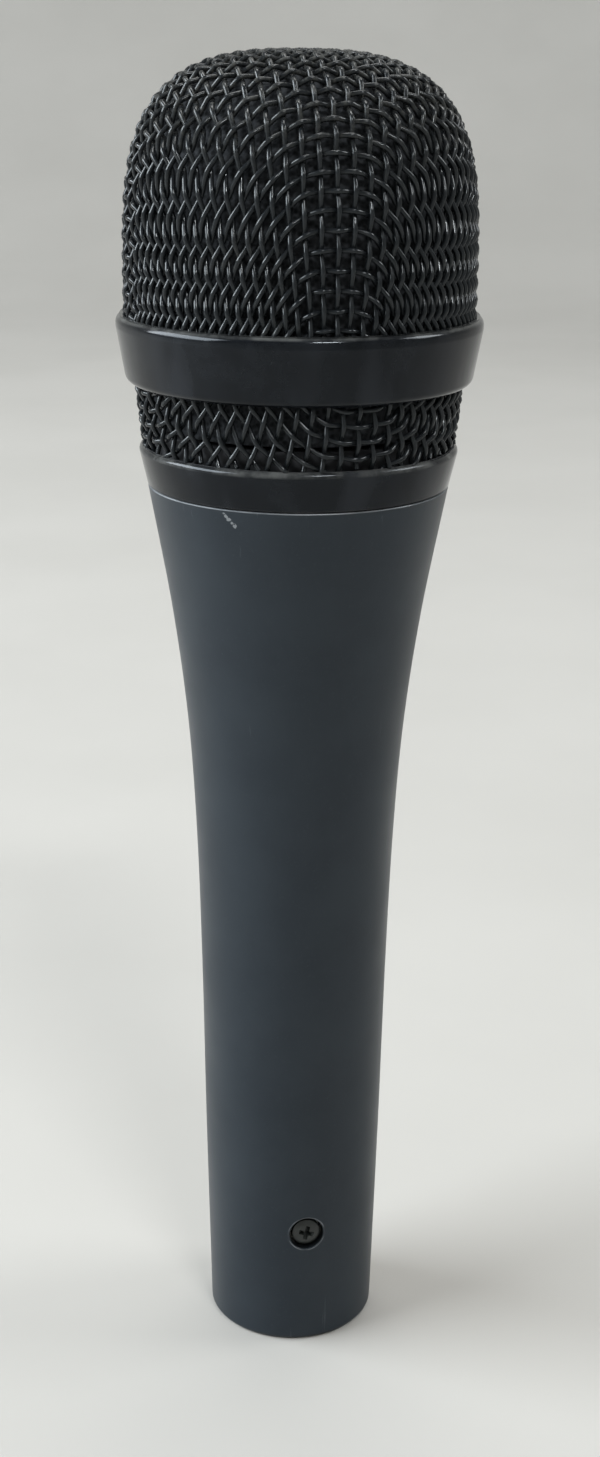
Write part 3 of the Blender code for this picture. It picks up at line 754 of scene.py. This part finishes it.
def foam_piece(material):
    """The open-cell foam behind both meshes, with an uneven skin."""
    low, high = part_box("foam_liner")
    radius = high.x
    height = high.z - DOME_SPRING_Z
    thick = 3.0 * MM
    outer = dome_outline(radius, height, 60, 147.0 * MM)
    inner = dome_outline(radius - thick, height - thick, 24, 146.5 * MM)
    wall = [(19.0 * MM, 146.8 * MM), (19.0 * MM, low.z - 0.18 * MM), (18.7 * MM, low.z - 0.2 * MM),
            (16.6 * MM, low.z), (16.6 * MM, 145.5 * MM)]

    def uneven(r, z, angle):
        place = Vector((r * math.cos(angle), r * math.sin(angle), z)) * 900.0
        return 0.12 * MM * noise.noise(place)

    foam = lathe("foam_skin", outer + wall + inner[::-1], 200, closed=False, shift=uneven)
    foam.data.materials.append(material)
    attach(foam, "foam")
    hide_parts("foam_liner")


def crash_ring(material):
    high = RING_HIGH.z / MM
    low = RING_LOW.z / MM
    widest = RING_HIGH.x / MM
    outline = rounded(in_mm([
        (23.2, high, 0.1), (widest, high, 1.0), (widest, 145.9, 1.0), (22.6, low + 0.55, 1.2),
        (21.8, low, 0.1), (21.8, 141.5), (19.9, 141.5), (19.9, low), (19.3, low), (19.3, 145.5),
        (20.3, 146.5), (21.3, 146.5), (21.3, 143.5), (23.2, 143.5),
    ]))
    ring = lathe("crash_ring_skin", outline, 200)
    ring.data.materials.append(material)
    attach(ring, "grille_head")
    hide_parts("crash_ring")


THREAD_PITCH = 1.5 * MM
THREAD_DEPTH = 0.6 * MM
THREAD_BOTTOM = 126.5 * MM
THREAD_TOP = 130.4 * MM
THREAD_START = math.radians(4.0)


def thread_shape(phase, sign):
    """shift() for a right-hand thread that grows outwards (sign 1) or inwards (sign -1)."""

    def shift(radius, height, angle):
        fade = min((height - THREAD_BOTTOM) / (0.35 * MM), (THREAD_TOP - height) / (0.35 * MM))
        fade = min(max(fade, 0.0), 1.0)
        turns = (height - THREAD_BOTTOM) / THREAD_PITCH - (angle - phase) / math.tau
        ridge = max(0.0, 1.0 - abs((turns + 0.5) % 1.0 - 0.5) * 2.5)
        return sign * fade * THREAD_DEPTH * min(ridge * 1.15, 1.0)

    return shift


def threaded_column(radius, bottom, top, rows=70):
    return [(radius, bottom + (top - bottom) * row / rows) for row in range(rows + 1)]


COLLAR_INSIDE_R = 20.4 * MM


def grille_collar(material, inside):
    top = COLLAR_TOP
    root = 17.85 * MM
    bottom = COLLAR_LOW.z - 0.14 * MM
    spigot = COLLAR_HIGH.z
    outer = rounded([
        (root, spigot), (19.0 * MM, spigot, 0.2 * MM), (19.0 * MM, top - 0.7 * MM),
        (20.45 * MM, top - 0.7 * MM), (20.45 * MM, top),
        (COLLAR_HIGH.x + 0.17 * MM, top, 0.7 * MM), (19.93 * MM, bottom, 0.12 * MM),
        (root + 0.3 * MM, bottom),
    ])
    column = threaded_column(root, bottom + 0.3 * MM, spigot - 0.2 * MM)
    inner_start = root + 0.01 * MM
    shape = thread_shape(THREAD_START + math.pi, -1.0)

    def shift(radius, height, angle):
        return shape(radius, height, angle) if radius < inner_start else 0.0

    collar = lathe("grille_collar_skin", outer + column, 200, shift=shift)
    collar.data.materials.append(material)
    collar.data.materials.append(inside)
    for face in collar.data.polygons:
        if face.center.xy.length < COLLAR_INSIDE_R:
            face.material_index = 1
    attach(collar, "grille_head")
    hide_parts("grille_collar")


# ---------------------------------------------------------------- handle

# (height, radius) of the flowing outline, as in the CAD handle
HANDLE_KNOTS = [
    (0.9 * MM, 11.9 * MM), (30.0 * MM, 12.62 * MM), (56.0 * MM, 13.12 * MM),
    (76.0 * MM, 13.76 * MM), (92.0 * MM, 14.8 * MM), (108.0 * MM, 16.8 * MM),
    (125.3 * MM, 19.9 * MM),
]


def smooth_value(knots, at):
    """A smooth curve through the knots."""
    last = len(knots) - 1
    span = max(i for i in range(last) if knots[i][0] <= at or i == 0)

    def slope(index):
        low = knots[max(index - 1, 0)]
        high = knots[min(index + 1, last)]
        return (high[1] - low[1]) / (high[0] - low[0])

    (x0, y0), (x1, y1) = knots[span], knots[span + 1]
    width = x1 - x0
    t = (at - x0) / width
    return (
        (2 * t**3 - 3 * t**2 + 1) * y0 + (t**3 - 2 * t**2 + t) * width * slope(span)
        + (3 * t**2 - 2 * t**3) * y1 + (t**3 - t**2) * width * slope(span + 1)
    )


def handle(material):
    knots = HANDLE_KNOTS
    corner = 0.26 * MM
    low, high = knots[0][0], HANDLE_TOP - corner
    heights = [high + (low - high) * step / 70 for step in range(71)]
    outer = [(smooth_value(knots, z), z) for z in heights]
    top_r = smooth_value(knots, high)
    base_r = outer[-1][0]
    wall = 2.0 * MM
    bore_foot = 32.0 * MM
    inside = [bore_foot + (HANDLE_TOP - bore_foot) * step / 12 for step in range(13)]
    top_edge = [
        (top_r - corner + corner * math.sin(a), HANDLE_TOP - corner + corner * math.cos(a))
        for a in (math.radians(15 * k) for k in range(6))
    ]
    fillet = 0.9 * MM
    base = [
        (base_r - fillet + fillet * math.cos(a), fillet - fillet * math.sin(a))
        for a in (math.radians(10 * k) for k in range(1, 10))
    ]
    inner_low = in_mm([(10.1, 0.0), (9.8, 0.3), (9.8, 24.3), (9.2, 24.3), (9.2, 28.0)])
    inner = [(smooth_value(knots, z) - wall, z) for z in inside]
    outline = top_edge + outer + base + inner_low + inner
    shell = lathe("handle_skin", outline, 192)
    cut_screw_hole(shell, smooth_value(knots, SCREW_Z))
    ease_shading(shell, knots)
    shell.data.materials.append(material)
    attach(shell, "handle")
    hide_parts("handle_shell")


def cut_screw_hole(shell, radius):
    """Cuts the counterbore with a small rounded lip."""
    flare = [(-4.0, 0.0), (-0.30, 0.0), (-0.18, 0.03), (-0.08, 0.10), (-0.02, 0.2), (0.25, 0.6)]
    outline = [(0.0, radius + 0.25 * MM)]
    outline += [(SCREW_HOLE_R + more * MM, radius + depth * MM) for depth, more in reversed(flare)]
    outline += [(0.0, radius - 4.0 * MM)]
    cutter = lathe("hole_cutter", outline, 64, closed=False)
    cutter.matrix_world = Matrix.Translation((0, 0, SCREW_Z)) @ Matrix.Rotation(math.pi / 2, 4, "X")
    cut(shell, cutter)


def ease_shading(shell, knots):
    """Gives the outer skin the turned form's own smooth normals, so that the cut leaves no marks."""
    mesh = shell.data
    mesh.shade_smooth()
    mesh.set_sharp_from_angle(angle=math.radians(SHARP_DEGREES))
    normals = [Vector(corner.vector) for corner in mesh.corner_normals]
    low, high = knots[0][0], knots[-1][0]
    step = 0.5 * MM
    for polygon in mesh.polygons:
        middle = polygon.center
        if not low < middle.z < high:
            continue
        out = Vector((middle.x, middle.y, 0.0))
        if out.length < smooth_value(knots, middle.z) - 0.06 * MM:
            continue
        if polygon.normal.dot(out.normalized()) < 0.97:
            continue
        for loop in polygon.loop_indices:
            point = mesh.vertices[mesh.loops[loop].vertex_index].co
            slope = (
                smooth_value(knots, min(point.z + step, high))
                - smooth_value(knots, max(point.z - step, low))
            ) / (min(point.z + step, high) - max(point.z - step, low))
            radial = Vector((point.x, point.y, 0.0)).normalized()
            normals[loop] = (radial - Vector((0.0, 0.0, slope))).normalized()
    mesh.normals_split_custom_set(normals)


def neck(material):
    """The brass ring in the handle's top, with the thread that takes the head."""
    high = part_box("threaded_neck")[1]
    root = 16.9 * MM
    column = threaded_column(root, high.z - 0.35 * MM, 124.1 * MM, 90)
    outline = rounded([(15.5 * MM, high.z), (root - 0.3 * MM, high.z)]) + column
    outline += in_mm([(16.9, 124.0), (16.0, 123.4), (16.0, 117.5), (15.5, 117.5)])
    shape = thread_shape(THREAD_START, 1.0)

    def shift(radius, height, angle):
        return shape(radius, height, angle) if radius > root - 0.01 * MM else 0.0

    piece = lathe("threaded_neck_skin", outline, 200, shift=shift)
    piece.data.materials.append(material)
    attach(piece, "handle")
    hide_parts("threaded_neck")


def screw(material):
    """A raised cross-head screw, turned and then cut with a tapering cross."""
    proud = 0.4 * MM
    head = 1.3 * MM
    dome = 0.36 * MM
    outline = [(0.0, 0.0)]
    for step in range(1, 13):
        r = SCREW_R * 0.93 * step / 12
        outline.append((r, -dome * (step / 12) ** 2.4))
    outline += [(SCREW_R * 0.985, -dome - 0.06 * MM), (SCREW_R, -dome - 0.18 * MM)]
    outline += [(SCREW_R, -head), (1.0 * MM, -head)]
    depth = SCREW_HIGH.y - SCREW_LOW.y
    outline += [(1.0 * MM, 0.3 * MM - depth), (0.7 * MM, -depth), (0.0, -depth)]
    piece = lathe("screw_skin", outline, 72, closed=False)
    for index, degrees in enumerate((-14.0, 76.0)):
        work = bmesh.new()
        bmesh.ops.create_cube(work, size=1.0)
        for vertex in work.verts:
            deep = vertex.co.z < 0
            vertex.co.x *= (0.9 if deep else 2.7) * MM
            vertex.co.y *= (0.46 if deep else 0.74) * MM
            vertex.co.z = (-1.05 if deep else 0.3) * MM
        mesh = bpy.data.meshes.new("cross")
        work.to_mesh(mesh)
        work.free()
        cutter = bpy.data.objects.new(f"cross_{index}", mesh)
        bpy.context.scene.collection.objects.link(cutter)
        cutter.rotation_euler = (0.0, 0.0, math.radians(degrees))
        cut(piece, cutter)
    piece.data.shade_smooth()
    piece.data.set_sharp_from_angle(angle=math.radians(35.0))
    piece.matrix_world = (
        Matrix.Translation((0.0, SCREW_FRONT - proud, SCREW_Z))
        @ Matrix.Rotation(math.pi / 2, 4, "X")
    )
    piece.data.materials.append(material)
    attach(piece, "retaining_screw")
    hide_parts("retaining_screw")


# ---------------------------------------------------------------- carried-over nodes

def dress_nodes():
    """Gives every CAD node that stays its own finish."""
    black = moulded("plastic_black", (0.012, 0.012, 0.013), 0.45)
    nickel = turned_metal("nickel_plate", (0.60, 0.59, 0.56), 0.24)
    gold = turned_metal("gold_plate", (0.83, 0.62, 0.27), 0.2, 0.05)
    brass = turned_metal("brass_turned", (0.62, 0.47, 0.22), 0.3)
    steel = turned_metal("steel_turned", (0.46, 0.46, 0.46), 0.34)
    tin = turned_metal("tin_plate_finish", (0.62, 0.62, 0.60), 0.38, 0.05)
    felt = moulded("felt_grey", (0.13, 0.125, 0.12), 0.95, 0.8, 2600.0)
    copper = windings("copper_windings", (0.72, 0.33, 0.16))
    looks = {
        "shock_mount": moulded("rubber_black", (0.014, 0.014, 0.014), 0.75, 0.4, 900.0),
        "connector_shell": nickel,
        "pin_insulator": black,
        "pin_1": gold,
        "pin_2": gold,
        "pin_3": gold,
        "screw_insert": brass,
        "ground_tag": tin,
        "lead_hot": moulded("insulation_red", (0.35, 0.02, 0.02), 0.4, 0.1),
        "lead_cold": moulded("insulation_blue", (0.02, 0.05, 0.28), 0.4, 0.1),
        "lead_ground": moulded("insulation_black", (0.012, 0.012, 0.012), 0.4, 0.1),
        "capsule_housing": black,
        "rear_cup": black,
        "front_cover": black,
        "diaphragm_seat": black,
        "cover_screen": felt,
        "damping_felt": felt,
        "yoke_cup": steel,
        "pole_piece": steel,
        "magnet": turned_metal("magnet_plate", (0.40, 0.40, 0.41), 0.22, 0.04),
        "hum_coil": copper,
        "voice_coil": copper,
        "terminal_board": moulded("board_green", (0.03, 0.11, 0.05), 0.4, 0.15),
        "tag_hot": tin,
        "tag_cold": tin,
        "diaphragm": moulded("diaphragm_film", (0.45, 0.42, 0.34), 0.25, 0.1),
    }
    for name, material in looks.items():
        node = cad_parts[name]
        node.data.materials.clear()
        node.data.materials.append(material)


make_camera()
make_stage()
make_lights()
wire = wire_lacquer()
gloss = lacquer()
upper_weave(wire)
lower_weave(wire)
foam_piece(foam_material())
crash_ring(gloss)
grille_collar(gloss, moulded("collar_inside", (0.014, 0.015, 0.017), 0.9, 0.3))
handle(enamel())
neck(turned_metal("brass_neck", (0.62, 0.47, 0.22), 0.3))
screw(moulded("screw_oxide", (0.0085, 0.0105, 0.0095), 0.33, 0.15, 1800.0))
dress_nodes()
